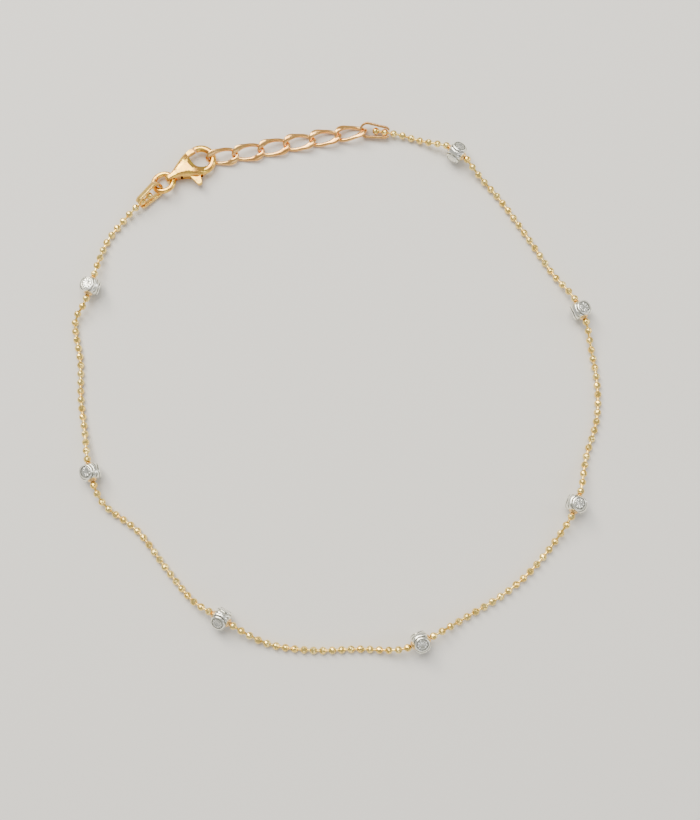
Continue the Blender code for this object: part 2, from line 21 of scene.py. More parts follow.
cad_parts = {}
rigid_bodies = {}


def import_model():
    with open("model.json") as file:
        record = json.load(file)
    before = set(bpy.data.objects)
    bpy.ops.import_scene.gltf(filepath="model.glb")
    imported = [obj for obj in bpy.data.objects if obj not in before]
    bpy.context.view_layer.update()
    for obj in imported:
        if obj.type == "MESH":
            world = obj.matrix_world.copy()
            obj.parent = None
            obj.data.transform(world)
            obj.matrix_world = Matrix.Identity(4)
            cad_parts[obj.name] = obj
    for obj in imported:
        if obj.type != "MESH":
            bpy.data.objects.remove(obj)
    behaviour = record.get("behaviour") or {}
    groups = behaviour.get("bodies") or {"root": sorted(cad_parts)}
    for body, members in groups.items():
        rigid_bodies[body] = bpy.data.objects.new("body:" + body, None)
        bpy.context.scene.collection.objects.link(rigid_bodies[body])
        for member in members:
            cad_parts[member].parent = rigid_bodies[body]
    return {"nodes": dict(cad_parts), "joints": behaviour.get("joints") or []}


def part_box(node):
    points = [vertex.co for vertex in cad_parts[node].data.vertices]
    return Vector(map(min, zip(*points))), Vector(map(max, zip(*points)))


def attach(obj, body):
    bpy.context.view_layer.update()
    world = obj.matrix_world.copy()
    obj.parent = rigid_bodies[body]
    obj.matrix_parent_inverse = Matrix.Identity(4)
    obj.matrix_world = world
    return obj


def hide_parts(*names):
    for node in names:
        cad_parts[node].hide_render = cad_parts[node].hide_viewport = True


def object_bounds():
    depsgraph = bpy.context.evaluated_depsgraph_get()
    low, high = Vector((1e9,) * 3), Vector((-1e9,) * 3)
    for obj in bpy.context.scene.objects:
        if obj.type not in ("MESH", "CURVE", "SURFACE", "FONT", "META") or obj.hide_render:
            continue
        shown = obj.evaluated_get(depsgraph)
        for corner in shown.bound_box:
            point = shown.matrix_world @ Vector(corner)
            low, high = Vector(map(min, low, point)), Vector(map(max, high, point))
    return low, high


for old in list(bpy.data.objects):
    bpy.data.objects.remove(old)
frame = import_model()
CAD_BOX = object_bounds()
MM = 0.001

# %% [markdown]
# ## The camera
#
# The photograph looks down on the loop from 78 degrees above the table. That angle shows in the balls:
# only there do they come out evenly spaced all the way round. The camera looks a little to the right of
# and below the loop's middle, because that is where the picture's middle falls.

# %% Camera
LOOKS_AT = Vector((2.2, -5.0, 0.0)) * MM
ELEVATION = math.radians(78)
DISTANCE = 184.9 * MM
LENS = 54.3  # millimetres
SENSOR = 36  # the sensor's long side in millimetres

camera_data = bpy.data.cameras.new("camera")
camera_data.lens = LENS
camera_data.sensor_width = SENSOR
camera_data.clip_start = 0.01
camera = bpy.data.objects.new("camera", camera_data)
bpy.context.scene.collection.objects.link(camera)
backwards = Vector((0, -math.cos(ELEVATION), math.sin(ELEVATION)))
camera.location = LOOKS_AT + backwards * DISTANCE
camera.rotation_euler = (-backwards).to_track_quat("-Z", "Y").to_euler()
bpy.context.scene.camera = camera
print("camera at", [round(v / MM, 1) for v in camera.location], "mm")

# %% [markdown]
# ## The table and the light
#
# Polished metal has hardly any colour of its own to show: it mirrors the room. An even white tent would
# turn gold to flat yellow paint. So the room here is a middling grey with soft boxes in it. Two bright ones
# behind the loop draw the light bands that a jeweller's photograph has. Two weak ones, in front and at the
# right, soften the shadows, and the pale table fills in from below.

# %% Table and lights
TABLE_SIZE = 1.6  # metres, so that its edge stays out of the picture
TABLE_COLOUR = "E4E1DC"
TABLE_ROUGHNESS = 0.75
ROOM_COLOUR = "B9B9B6"
ROOM_STRENGTH = 1.1

# Each soft box: where it hangs in metres from the loop, its two sides in metres, how bright its face is
# in watts per square metre and steradian, and its colour
SOFT_BOXES = {
    "overhead": ((-0.10, 0.24, 0.56), (0.50, 0.36), 7.5, "FFFDF6"),
    "window": ((-0.34, 0.46, 0.46), (0.26, 0.26), 16.0, "FFF8EA"),
    "front_fill": ((0.16, -0.52, 0.34), (0.50, 0.18), 1.6, "F6F8FF"),
    "right_strip": ((0.50, 0.05, 0.24), (0.12, 0.50), 3.4, "FFFFFF"),
}


def linear(hex_colour):
    """An sRGB hex colour as the linear numbers that a shader takes."""
    values = [int(hex_colour[i:i + 2], 16) / 255 for i in (0, 2, 4)]
    return [v / 12.92 if v <= 0.04045 else ((v + 0.055) / 1.055) ** 2.4 for v in values] + [1.0]


def add_node(tree, kind, inputs=None, **settings):
    """A node with its settings; an input is given a value, or another node's socket to be linked to."""
    made = tree.nodes.new(kind)
    for name, value in settings.items():
        setattr(made, name, value)
    for name, value in (inputs or {}).items():
        if isinstance(value, bpy.types.NodeSocket):
            tree.links.new(value, made.inputs[name])
        else:
            made.inputs[name].default_value = value
    return made


def new_object(name, data):
    made = bpy.data.objects.new(name, data)
    bpy.context.scene.collection.objects.link(made)
    return made


world = bpy.data.worlds.new("room")
world.use_nodes = True
world.node_tree.nodes["Background"].inputs["Color"].default_value = linear(ROOM_COLOUR)
world.node_tree.nodes["Background"].inputs["Strength"].default_value = ROOM_STRENGTH
bpy.context.scene.world = world

for name, (place, sides, brightness, colour) in SOFT_BOXES.items():
    lamp = bpy.data.lights.new(name, "AREA")
    lamp.shape = "RECTANGLE"
    lamp.size, lamp.size_y = sides
    lamp.energy = brightness * math.pi * sides[0] * sides[1]
    lamp.color = linear(colour)[:3]
    box = new_object(name, lamp)
    box.location = place
    box.rotation_euler = (-Vector(place)).to_track_quat("-Z", "Y").to_euler()

table_mesh = bpy.data.meshes.new("table")
half = TABLE_SIZE / 2
level = CAD_BOX[0].z
corners = [(-half, -half, level), (half, -half, level), (half, half, level), (-half, half, level)]
table_mesh.from_pydata(corners, [], [(0, 1, 2, 3)])
table = new_object("table", table_mesh)
# Matt paper: it mirrors nothing, so only the soft shadows show on it
paper = bpy.data.materials.new("pale_paper")
paper.use_nodes = True
paper.node_tree.nodes["Principled BSDF"].inputs["Base Color"].default_value = linear(TABLE_COLOUR)
paper.node_tree.nodes["Principled BSDF"].inputs["Roughness"].default_value = TABLE_ROUGHNESS
table_mesh.materials.append(paper)
print("table at", round(level / MM, 3), "mm;", len(SOFT_BOXES), "soft boxes")

# %% [markdown]
# ## The metals
#
# The same gold looks different by how it was worked. The balls are cut with a diamond tool, so each facet
# is a small clean mirror. The clasp and its ring are cast and tumbled, which leaves a soft ripple under the
# polish. The links are a rosier gold, drawn, twisted and filed. The tags are rolled strip with a satin face.
# A metal keeps the shader's default IOR; what tells one finish from another is its colour, how sharply it
# mirrors, and the relief that is too fine to model.
#
# Real plating is never one even colour. Two near colours drift into each other over a few millimetres.

# %% Gold finishes


def metal(name, light, dark, drift_mm, roughness, grain_mm, grain_depth_mm):
    """Polished metal: two colours that drift over drift_mm, and a grain that shifts gloss and relief."""
    made = bpy.data.materials.new(name)
    made.use_nodes = True
    tree = made.node_tree
    shader = tree.nodes["Principled BSDF"]
    shader.inputs["Metallic"].default_value = 1.0
    place = add_node(tree, "ShaderNodeTexCoord").outputs["Object"]
    drift = add_node(tree, "ShaderNodeTexNoise", {
        "Vector": place, "Scale": 1 / (drift_mm * MM), "Detail": 2.0})
    spread = add_node(tree, "ShaderNodeMapRange", {
        "Value": drift.outputs["Fac"], "From Min": 0.35, "From Max": 0.65})
    mix = add_node(tree, "ShaderNodeMix", {
        "Factor": spread.outputs["Result"], "A": linear(light), "B": linear(dark)}, data_type="RGBA")
    grain = add_node(tree, "ShaderNodeTexNoise", {
        "Vector": place, "Scale": 1 / (grain_mm * MM), "Detail": 4.0})
    gloss = add_node(tree, "ShaderNodeMapRange", {
        "Value": grain.outputs["Fac"], "From Min": 0.3, "From Max": 0.7,
        "To Min": roughness * 0.75, "To Max": roughness * 1.3})
    relief = add_node(tree, "ShaderNodeBump", {
        "Height": grain.outputs["Fac"], "Distance": grain_depth_mm * MM, "Strength": 1.0})
    tree.links.new(mix.outputs["Result"], shader.inputs["Base Color"])
    tree.links.new(gloss.outputs["Result"], shader.inputs["Roughness"])
    tree.links.new(relief.outputs["Normal"], shader.inputs["Normal"])
    return made


# Diamond-cut yellow gold: near-mirror facets, so light comes off it in sharp sparks
CUT_GOLD = metal("diamond_cut_yellow_gold", "FFE38C", "FAD06A", 1.8, 0.16, 0.25, 0.002)
# Cast and tumbled yellow gold: softer highlights that swim a little, with rosy patches
CAST_GOLD = metal("cast_yellow_gold", "F9CF5C", "E8AC5A", 1.1, 0.2, 0.6, 0.055)
# Drawn rose gold: a warm peach colour with cream highlights
ROSE_GOLD = metal("drawn_rose_gold", "FAC87C", "EEB066", 1.6, 0.2, 0.35, 0.008)
# Rolled strip gold, left satin on its faces: a broad sheen and no clear reflection
STRIP_GOLD = metal("rolled_strip_gold", "F7D272", "E9BA64", 1.4, 0.27, 0.18, 0.003)
# The extension's tag is the same strip in the rosier alloy
ROSE_STRIP = metal("rolled_rose_strip", "F4C27C", "E5AA68", 1.4, 0.25, 0.18, 0.003)
print("finishes:", [m.name for m in (CUT_GOLD, CAST_GOLD, ROSE_GOLD, STRIP_GOLD, ROSE_STRIP)])

# %% [markdown]
# ## White moon-cut metal
#
# The beads are bright white metal. The cutter leaves its discs and bands a little satin, so they show
# their shape more than they mirror the room. The shade in the grooves between the bands is painted into
# the colour: thin olive lines of painted shade draw the moons' outlines. Where a groove runs comes from
# the bead's own attribute, so the painted lines follow the cut exactly.

# %% White metal


def moon_metal(light, shade, shade_line_colour):
    """White metal whose colour darkens to a painted shade colour in the grooves."""
    made = metal("moon_cut_white_metal", light, shade, 0.9, 0.2, 0.22, 0.002)
    tree = made.node_tree
    shader = tree.nodes["Principled BSDF"]
    plain = shader.inputs["Base Color"].links[0].from_socket
    # Painted shade: the bead's point attribute turns the colour to dark olive along the grooves and round the
    # dish
    painted_shade_lines = add_node(tree, "ShaderNodeAttribute", attribute_name="painted_shade_lines").outputs["Fac"]
    lined = add_node(tree, "ShaderNodeMix", {
        "Factor": painted_shade_lines, "A": plain, "B": linear(shade_line_colour)}, data_type="RGBA")
    tree.links.new(lined.outputs["Result"], shader.inputs["Base Color"])
    return made


# Bright white metal off the cutter: nearly white faces, outlined by thin olive lines of painted groove shade
MOON_METAL = moon_metal("FDFCF4", "F1F1E4", "5A5640")
# Turned peach gold: a small warm rim at each side of a white bead
COLLAR_GOLD = metal("bead_collar_gold", "FBD38E", "EEBA72", 1.2, 0.2, 0.3, 0.006)
# Wire filed flush with the clasp: a darker, duller dot than the cast gold round it
PIN_GOLD = metal("filed_pin_gold", "E3B25E", "CF984A", 0.6, 0.28, 0.15, 0.006)
print("finishes:", [m.name for m in (MOON_METAL, COLLAR_GOLD, PIN_GOLD)])

# %% [markdown]
# ## Handing a piece over
#
# Each finished mesh is worked out in millimetres, where numbers are easy to read, and scaled down once at
# the end. Its object stays at the origin, so its finish sits still on it. It then rides on its body, and the
# frame's solids that it stands for are hidden.

# %% Handing over


def hand_over(name, mesh, finishes, nodes, body="anklet"):
    """A finished piece from a mesh in metres, in place of the frame's nodes."""
    for finish in finishes:
        mesh.materials.append(finish)
    piece = new_object(name, mesh)
    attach(piece, body)
    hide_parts(*nodes)
    print(f"{name}: {len(mesh.polygons)} faces")
    return piece

# %% [markdown]
# ## Where the balls are
#
# The frame's strands are fused bodies of plain balls. To put a finer ball exactly on each, their middles
# have to be found. Every face of a ball looks away from its middle, so a step inwards from each face, by
# a ball's radius, lands near that middle. Where dozens of steps land together, there is a ball.

# %% Finding the balls
STEP_IN = 0.5 * MM
SAME_BALL = 0.16 * MM
FACES_OF_A_BALL = 20


def ball_middles(node, near):
    """The middles of a strand's balls in order, from the one nearest to a point."""
    faces = frame["nodes"][node].data.polygons
    steps = [face.center - face.normal * STEP_IN for face in faces]
    tree = KDTree(len(steps))
    for i, step in enumerate(steps):
        tree.insert(step, i)
    tree.balance()
    found, used = [], set()
    for i, step in enumerate(steps):
        close = tree.find_range(step, SAME_BALL)
        if i in used or len(close) < FACES_OF_A_BALL:
            continue
        middle = sum((c[0] for c in close), Vector()) / len(close)
        close = tree.find_range(middle, SAME_BALL)
        found.append(sum((c[0] for c in close), Vector()) / len(close))
        used.update(c[1] for c in tree.find_range(middle, 3 * SAME_BALL))
    order, here = [], Vector(near)
    while found:
        here = min(found, key=lambda p: (p - here).length)
        found.remove(here)
        order.append(here)
    return order


def middle_of(node):
    low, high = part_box(node)
    return (low + high) / 2


right_balls = ball_middles("ball_chain_right", middle_of("extension_link_6"))
left_balls = ball_middles("ball_chain_left", middle_of("jump_ring"))
round_the_loop = right_balls + left_balls[::-1]
spacing = [(b - a).length for a, b in zip(round_the_loop, round_the_loop[1:])]
usual_pitch = np.median(spacing) / MM
print("balls:", len(right_balls), "and", len(left_balls), "usual pitch", round(usual_pitch, 3), "mm")

# %% [markdown]
# ## The ball chain
#
# One ball and one wire make the whole chain, so it is a job for Geometry Nodes. The input is a plain
# line through the balls' middles. The wire is that line swept with a small circle. At each point the tree
# sets a ball with 80 facets, and turns it at random, because loose balls roll as they please. That is why
# every ball in the photograph sparkles in its own way. The turn has a fixed seed. The line's last point is
# the wire's bare end inside the middle bead, so the tree is told how many balls there are and sets none
# there.

# %% Ball chain
BALL_RADIUS = 0.565 * MM  # to the facets' corners
WIRE_RADIUS = 0.19 * MM
WIRE_SIDES = 10
END_IN_BEAD = 0.06 * MM  # from where the two wires would meet back to each bare end
CHAIN_SEED = 7


def chain_tree():
    """Geometry Nodes: a line through the balls' middles becomes balls on a wire."""
    tree = bpy.data.node_groups.new("ball_chain", "GeometryNodeTree")
    for name, kind in (("Line", "NodeSocketGeometry"), ("Ball Radius", "NodeSocketFloat"),
                       ("Wire Radius", "NodeSocketFloat"), ("Balls", "NodeSocketInt"),
                       ("Seed", "NodeSocketInt"), ("Finish", "NodeSocketMaterial")):
        tree.interface.new_socket(name, in_out="INPUT", socket_type=kind)
    tree.interface.new_socket("Chain", in_out="OUTPUT", socket_type="NodeSocketGeometry")
    given = add_node(tree, "NodeGroupInput").outputs
    ball = add_node(tree, "GeometryNodeMeshIcoSphere", {"Radius": given["Ball Radius"], "Subdivisions": 2})
    turn = add_node(tree, "FunctionNodeRandomValue", {
        "Min": (0, 0, 0), "Max": (math.tau,) * 3, "Seed": given["Seed"]}, data_type="FLOAT_VECTOR")
    index = add_node(tree, "GeometryNodeInputIndex")
    has_ball = add_node(tree, "FunctionNodeCompare", {
        "A": index.outputs["Index"], "B": given["Balls"]}, operation="LESS_THAN")
    place = add_node(tree, "GeometryNodeInstanceOnPoints", {
        "Points": given["Line"], "Instance": ball.outputs["Mesh"], "Rotation": turn.outputs["Value"],
        "Selection": has_ball.outputs["Result"]})
    line = add_node(tree, "GeometryNodeMeshToCurve", {"Mesh": given["Line"]})
    circle = add_node(tree, "GeometryNodeCurvePrimitiveCircle", {
        "Resolution": WIRE_SIDES, "Radius": given["Wire Radius"]}, mode="RADIUS")
    wire = add_node(tree, "GeometryNodeCurveToMesh", {
        "Curve": line.outputs["Curve"], "Profile Curve": circle.outputs["Curve"], "Fill Caps": True})
    both = add_node(tree, "GeometryNodeJoinGeometry")
    tree.links.new(place.outputs["Instances"], both.inputs["Geometry"])
    tree.links.new(wire.outputs["Mesh"], both.inputs["Geometry"])
    real = add_node(tree, "GeometryNodeRealizeInstances", {"Geometry": both.outputs["Geometry"]})
    finished = add_node(tree, "GeometryNodeSetMaterial", {
        "Geometry": real.outputs["Geometry"], "Material": given["Finish"]})
    add_node(tree, "NodeGroupOutput", {"Chain": finished.outputs["Geometry"]})
    return tree


def grown(name, line, tree, values):
    """The plain mesh that a Geometry Nodes tree grows from a line's mesh."""
    seed = new_object(name + "_line", line)
    modifier = seed.modifiers.new("grow", "NODES")
    modifier.node_group = tree
    for item in tree.interface.items_tree:
        if item.name in values:
            modifier[item.identifier] = values[item.name]
    bpy.context.view_layer.update()
    graph = bpy.context.evaluated_depsgraph_get()
    mesh = bpy.data.meshes.new_from_object(seed.evaluated_get(graph))
    mesh.name = name
    bpy.data.objects.remove(seed)
    return mesh


BALL_CHAIN = chain_tree()
meeting = (right_balls[-1] + left_balls[-1]) / 2
for side, balls in (("right", right_balls), ("left", left_balls)):
    bare_end = meeting + (balls[-1] - meeting).normalized() * END_IN_BEAD
    line = bpy.data.meshes.new("line")
    line.from_pydata(balls + [bare_end], [(i, i + 1) for i in range(len(balls))], [])
    mesh = grown(f"diamond_cut_chain_{side}", line, BALL_CHAIN, {
        "Ball Radius": BALL_RADIUS, "Wire Radius": WIRE_RADIUS, "Balls": len(balls), "Seed": CHAIN_SEED,
        "Finish": CUT_GOLD})
    hand_over(f"diamond_cut_chain_{side}", mesh, [], [f"ball_chain_{side}"])

# %% [markdown]
# ## Making shapes in millimetres
#
# The castings are made as a jeweller would make them: a plain blank, then what is added to it and what is
# cut out. A Boolean does the adding and cutting. Every blank is a closed body, so its manifold solver can
# be used, which gives a closed body back. It is worked at millimetre size, where its small tolerances
# matter least, and the result is laid in its place afterwards.

# %% Shaping tools


def combined(mesh, other, operation):
    """A closed mesh with another one added to it or cut out of it, and no finish yet."""
    piece = new_object("piece", mesh)
    tool = new_object("tool", other)
    step = piece.modifiers.new("combine", "BOOLEAN")
    step.operation = operation
    step.solver = "MANIFOLD"
    step.object = tool
    bpy.context.view_layer.update()
    graph = bpy.context.evaluated_depsgraph_get()
    result = bpy.data.meshes.new_from_object(piece.evaluated_get(graph))
    result.materials.clear()
    bpy.data.objects.remove(piece)
    bpy.data.objects.remove(tool)
    return result


def grid_mesh(name, rows, closed=False):
    """Quads over rows of points, each row a closed loop; the last row joins the first, or both are capped."""
    count, columns = len(rows), len(rows[0])
    shape = bmesh.new()
    points = [[shape.verts.new(p) for p in row] for row in rows]
    for i in range(count if closed else count - 1):
        low, high = points[i], points[(i + 1) % count]
        for j in range(columns):
            k = (j + 1) % columns
            shape.faces.new((low[j], low[k], high[k], high[j]))
    if not closed:
        shape.faces.new(points[0])
        shape.faces.new(points[-1])
    bmesh.ops.recalc_face_normals(shape, faces=shape.faces)
    mesh = bpy.data.meshes.new(name)
    shape.to_mesh(mesh)
    shape.free()
    return mesh


def turned(name, profile, sides, closed=False):
    """A shape turned on a lathe about Z from (radius, height) pairs."""
    rows = []
    for radius, height in profile:
        turns = [math.tau * i / sides for i in range(sides)]
        rows.append([(radius * math.cos(t), radius * math.sin(t), height) for t in turns])
    return grid_mesh(name, rows, closed)


def plate(name, outline, bottom, top, rounding=0.0):
    """A flat outline given thickness along Z, with its edges rounded."""
    shape = bmesh.new()
    face = shape.faces.new([shape.verts.new((x, y, bottom)) for x, y in outline])
    raised = bmesh.ops.extrude_face_region(shape, geom=[face])["geom"]
    moved = [v for v in raised if isinstance(v, bmesh.types.BMVert)]
    bmesh.ops.translate(shape, verts=moved, vec=(0, 0, top - bottom))
    bmesh.ops.recalc_face_normals(shape, faces=shape.faces)
    if rounding:
        rims = [e for e in shape.edges if abs(e.verts[0].co.z - e.verts[1].co.z) < 1e-6]
        bmesh.ops.bevel(shape, geom=rims, offset=rounding, segments=3, affect="EDGES", profile=0.5)
    mesh = bpy.data.meshes.new(name)
    shape.to_mesh(mesh)
    shape.free()
    return mesh


def arc(centre, radius, start, end, steps):
    """Points of a flat arc, in degrees."""
    turns = [math.radians(start + (end - start) * i / steps) for i in range(steps + 1)]
    return [(centre[0] + radius * math.cos(t), centre[1] + radius * math.sin(t)) for t in turns]


def laid(mesh, matrix, crease=35):
    """A mesh in millimetres put in its place in metres, smooth but for edges sharper than the crease."""
    mesh.transform(matrix @ Matrix.Scale(MM, 4))
    mesh.shade_smooth()
    mesh.set_sharp_from_angle(angle=math.radians(crease))
    return mesh


def turn(degrees, axis):
    return Matrix.Rotation(math.radians(degrees), 4, axis)


def lie_of(node):
    """How a symmetrical solid lies: its middle, with its long, wide and thin directions as X, Y and Z."""
    points = np.unique(np.array([v.co for v in frame["nodes"][node].data.vertices]).round(7), axis=0)
    middle = points.mean(0)
    axes = np.linalg.eigh(np.cov((points - middle).T))[1]
    long, wide = Vector(axes[:, 2]), Vector(axes[:, 1])
    if long.cross(wide).z < 0:
        wide = -wide
    turned_to = Matrix((long, wide, long.cross(wide))).transposed()
    return Matrix.Translation(middle) @ turned_to.to_4x4()


print("jump ring's middle:", [round(v / MM, 2) for v in lie_of("jump_ring").translation])

# %% [markdown]
# ## The moon-cut beads
#
# A bead is a small barrel turned from white metal. A spinning cutter sinks a flat disc into its waist and
# grooves round it, one outside the other. Seen from the side, the disc is the full moon and the bands
# between the grooves are nested crescents. A shallow dish in the disc's middle and ten flutes round it break
# its shine into sparks. Three such moons go round each bead. All seven beads are the same; only their roll
# on the chain differs, and it decides which moon faces the eye.
#
# The surface is a grid round the barrel. Each of its points belongs to the nearest moon, and its distance
# from that moon's axis says whether it lies on the disc, on a band or in a groove. The grid is fine enough
# for a groove to stay a clean line. A collar of peach gold closes each end, turned as one ring.

# %% Moon-cut beads
BEAD_RADIUS = 1.65
BODY_HALF = 1.175
BODY_END_RADIUS = 0.8
BORE_RADIUS = 0.3
END_SHARPNESS = 0.9  # under 1 crowds the grid's rows away from the bead's waist
BARREL_FULLNESS = 0.8  # 1 would be an ellipse, and less is fuller
POINTS_AROUND = 208
ROWS_ALONG = 72
MOONS = 3
DISC_RADIUS = 0.8
DISC_HEIGHT = 1.42  # from the bead's middle, where the uncut barrel is 1.65
DISC_EDGE = 0.13  # how wide the disc's rim takes to rise to the bands
BAND_WIDTH = 0.37  # from one groove to the next
BAND_HEIGHT = 0.13
CUTS_FADE = 0.12  # the cuts run out this near to the bead's ends
# The width of the painted shade line in each groove and at the disc's rim
SHADE_LINE_WIDTH = 0.06
DISH_RADIUS = 0.42
DISH_DEPTH = 0.05
# The painted shade line round the dish: its width, and how dark it is
DISH_SHADE_LINE_WIDTH = 0.04
DISH_SHADE_LINE_STRENGTH = 0.6
FLUTES = 10
FLUTE_DEPTH = 0.045
COLLAR_START = 1.1
COLLAR_END = 1.47
COLLAR_RADIUS = 0.66
# How far each bead has rolled from showing a moon straight up, in degrees towards the outside of the loop
ROLLS = (30, 16, 12, 20, 38, 20, 12)


def moon_bead():
    """The bead's body along Z, with its first moon towards X and painted shade lines along its grooves as an
    attribute.
    """
    rows, painted_lines = [], []
    step = math.tau / MOONS
    turns = [math.tau * k / POINTS_AROUND for k in range(POINTS_AROUND)]
    for i in range(ROWS_ALONG + 1):
        t = -math.pi / 2 + math.pi * i / ROWS_ALONG
        z = BODY_HALF * math.copysign(abs(math.sin(t)) ** END_SHARPNESS, t)
        swell = max(math.cos(t), 0) ** BARREL_FULLNESS
        plain = BODY_END_RADIUS + (BEAD_RADIUS - BODY_END_RADIUS) * swell
        row = []
        for turned_by in turns:
            off = (turned_by + step / 2) % step - step / 2  # from the nearest moon's direction
            from_axis = math.hypot(z, plain * math.sin(off))
            end_fade = min(1, (BODY_HALF - abs(z)) / CUTS_FADE)
            if from_axis < DISC_RADIUS:
                dish = max(0, 1 - (from_axis / DISH_RADIUS) ** 2)
                flute = abs(math.sin(FLUTES / 2 * math.atan2(z, plain * math.sin(off))))
                cut = FLUTE_DEPTH * flute * min(1, from_axis / DISH_RADIUS)
                disc = min(plain, DISC_HEIGHT / math.cos(off)) - DISH_DEPTH * dish - cut
                fall = max(0, 1 - (DISC_RADIUS - from_axis) / DISC_EDGE)
                radius = disc + (plain - BAND_HEIGHT * end_fade - disc) * fall ** 2 * (3 - 2 * fall)
                # Painted shade: a dark line round the dish's edge and another at the disc's rim
                line = DISH_SHADE_LINE_STRENGTH * math.exp(-((from_axis - DISH_RADIUS) / DISH_SHADE_LINE_WIDTH) ** 2)
                line += math.exp(-((DISC_RADIUS - from_axis) / SHADE_LINE_WIDTH) ** 2)
            else:
                share = (from_axis - DISC_RADIUS) / BAND_WIDTH % 1
                radius = plain - BAND_HEIGHT * (1 - math.sin(math.pi * share) ** 0.5) * end_fade
                # Painted shade: a dark line in each groove between the bands
                line = math.exp(-(min(share, 1 - share) * BAND_WIDTH / SHADE_LINE_WIDTH) ** 2)
            row.append((radius * math.cos(turned_by), radius * math.sin(turned_by), z))
            painted_lines.append(line * end_fade)
        rows.append(row)
    ends = []
    for z in (BODY_HALF, -BODY_HALF):
        ends.append([(BORE_RADIUS * math.cos(t), BORE_RADIUS * math.sin(t), z) for t in turns])
    mesh = grid_mesh("moon_bead", rows + ends, closed=True)
    painted_lines += [0] * (2 * POINTS_AROUND)
    mesh.attributes.new("painted_shade_lines", "FLOAT", "POINT").data.foreach_set("value", painted_lines)
    return mesh


def collars():
    """The two end rings along Z, each thinning towards the chain."""
    profile = [(BORE_RADIUS, COLLAR_START), (COLLAR_RADIUS, COLLAR_START), (COLLAR_RADIUS, 1.2)]
    profile += [(0.62, 1.27), (0.54, 1.35), (0.47, 1.43), (0.43, COLLAR_END)]
    profile += [(BORE_RADIUS + 0.02, COLLAR_END)]
    one = turned("collar", profile, 48, closed=True)
    other = one.copy()
    other.transform(Matrix.Rotation(math.pi, 4, "X"))
    both = bmesh.new()
    both.from_mesh(one)
    both.from_mesh(other)
    both.to_mesh(one)
    both.free()
    return one


BEAD = moon_bead()
COLLARS = collars()
for number, roll in enumerate(ROLLS, start=1):
    node = f"moon_bead_{number}"
    middle = middle_of(node)
    beside = sorted(range(len(round_the_loop)), key=lambda i: (round_the_loop[i] - middle).length)[:2]
    along = (round_the_loop[max(beside)] - round_the_loop[min(beside)]).normalized()
    left = Vector((0, 0, 1)).cross(along).normalized()
    up = along.cross(left)
    # The bead's axis Z goes along the chain, and its first disc's direction X up
    lay = Matrix((up, -left, along)).transposed() @ Matrix.Rotation(math.radians(-roll), 3, "Z")
    place = Matrix.Translation(middle) @ lay.to_4x4()
    hand_over(f"moon_cut_body_{number}", laid(BEAD.copy(), place, 60), [MOON_METAL], [node])
    hand_over(f"bead_collars_{number}", laid(COLLARS.copy(), place), [COLLAR_GOLD], [node])

# %% [markdown]
# ## The curb links
#
# A curb link starts as an oval of round wire. It is gripped at both ends and twisted, so that the chain
# lies flat on the skin, and then its two highest shoulders are pressed to a flat ribbon. In the picture
# those ribbons are the broad peach bands at the upper left and lower right of every link. The wire is
# swept by hand rather than with a ready curve tool, because its section changes from round to ribbon.

# %% Curb links
LINK_LENGTH = 5.2
LINK_WIDTH = 2.72
LINK_WIRE = 0.5  # at the two ends
SIDE_WIRE = 0.6
LINK_POINTS = 72
LINK_SIDES = 20
LINK_TWIST = 40  # degrees, from the link's middle to each end
OVALNESS = 2.3  # 2 would be an ellipse, and more is squarer
RIBBON_WIDTH = 1.0
RIBBON_THICKNESS = 0.42
RIBBON_BULGE = 0.3  # the share of its extra width by which a ribbon moves outwards
SHOULDER_AT = 1.4  # each ribbon's distance from the link's middle
SHOULDER_SPREAD = 0.8
SHOULDER_EDGE = 1.3  # over 1 keeps a ribbon at full width round more of the oval's side


def swept_loop(name, path, normals, sections, sides):
    """A closed wire along a path; each section is its width in the loop's plane and its thickness."""
    rows, count = [], len(path)
    for i, (point, normal, (width, thickness)) in enumerate(zip(path, normals, sections)):
        along = (path[(i + 1) % count] - path[i - 1]).normalized()
        across = along.cross(normal).normalized()
        up = across.cross(along)
        turns = [math.tau * k / sides for k in range(sides)]
        rows.append([point + across * (math.cos(t) * width / 2) + up * (math.sin(t) * thickness / 2)
                     for t in turns])
    return grid_mesh(name, rows, closed=True)


def curb_link():
    """One twisted link, long along X and flat in Z."""
    half_width = (LINK_WIDTH - SIDE_WIRE) / 2
    reach = (LINK_LENGTH - LINK_WIRE) / 2
    path, normals, sections = [], [], []
    for i in range(LINK_POINTS):
        angle = math.tau * i / LINK_POINTS
        c, s = math.cos(angle), math.sin(angle)
        x = math.copysign(abs(c) ** (2 / OVALNESS), c) * reach
        y = math.copysign(abs(s) ** (2 / OVALNESS), s) * half_width
        twist = turn(-LINK_TWIST * x / reach, "X")
        # The shoulders are at the left end above and at the right end below; there the section faces up
        near = math.exp(-((x * math.copysign(1, y) + SHOULDER_AT) / SHOULDER_SPREAD) ** 2)
        shoulder = near * min(1, SHOULDER_EDGE * abs(y) / half_width)
        bulge = (RIBBON_WIDTH - SIDE_WIRE) * RIBBON_BULGE
        outwards = Vector((x / reach, y / half_width, 0)).normalized() * bulge
        path.append(twist @ (Vector((x, y, 0)) + outwards * shoulder))
        normals.append((twist @ Vector((0, 0, 1))).lerp(Vector((0, 0, 1)), shoulder))
        wire = LINK_WIRE + (SIDE_WIRE - LINK_WIRE) * (1 - (x / reach) ** 2)
        width = wire + (RIBBON_WIDTH - wire) * shoulder
        thickness = wire + (RIBBON_THICKNESS - wire) * shoulder
        sections.append((width, thickness))
    return swept_loop("link", path, normals, sections, LINK_SIDES)


LINK = curb_link()
for number in range(1, 7):
    node = f"extension_link_{number}"
    lie = lie_of(node)
    if lie.col[0].x < 0:
        lie = lie @ turn(180, "Z")
    hand_over(f"curb_link_{number}", laid(LINK.copy(), lie, 60), [ROSE_GOLD], [node])

